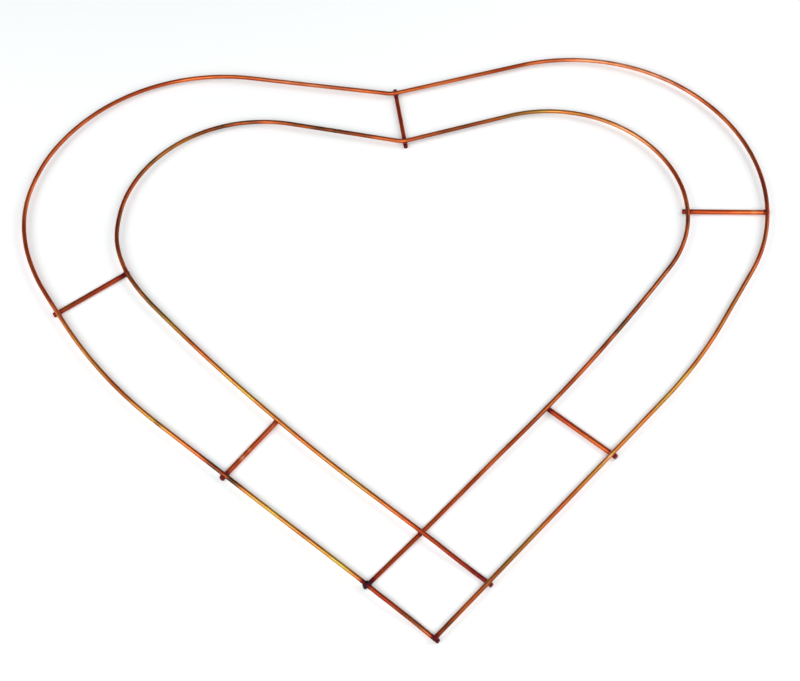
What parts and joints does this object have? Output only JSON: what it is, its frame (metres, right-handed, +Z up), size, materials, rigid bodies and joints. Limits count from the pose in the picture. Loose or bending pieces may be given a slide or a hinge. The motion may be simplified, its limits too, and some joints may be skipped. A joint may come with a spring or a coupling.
{
  "type": "wreath frame",
  "caption": "Flat heart-shaped wreath frame of copper-washed steel wire: two nested hearts joined by short welded crossbars",
  "frame": {"origin": "on the table under the middle of the outline, seen from above", "axes": "+X across the heart to its right lobe, +Y from the tip to the notch, +Z up off the table"},
  "size_m": [0.3556, 0.3207, 0.0038],
  "materials": {
    "heart_wire": "bright drawn steel wire with a thin copper wash, a little tarnished",
    "crossbar_wire": "drawn steel wire with the same copper wash, mostly slightly thicker, reddened by welding at its ends",
    "weld_scale": "resistance weld bead with dark red to black heat scale"
  },
  "bodies": {
    "root": {"outer_heart_wire": "heart_wire", "inner_heart_wire": "heart_wire", "notch_crossbar": "crossbar_wire", "left_upper_crossbar": "crossbar_wire", "left_lower_crossbar": "crossbar_wire", "right_upper_crossbar": "crossbar_wire", "right_lower_crossbar": "crossbar_wire", "weld_tip": "weld_scale", "weld_inner_crossing": "weld_scale", "weld_inner_left_end": "weld_scale", "weld_inner_right_end": "weld_scale", "weld_notch_outer": "weld_scale", "weld_notch_inner": "weld_scale", "weld_left_upper_outer": "weld_scale", "weld_left_upper_inner": "weld_scale", "weld_left_lower_outer": "weld_scale", "weld_left_lower_inner": "weld_scale", "weld_right_upper_outer": "weld_scale", "weld_right_upper_inner": "weld_scale", "weld_right_lower_outer": "weld_scale", "weld_right_lower_inner": "weld_scale"}
  },
  "joints": []
}
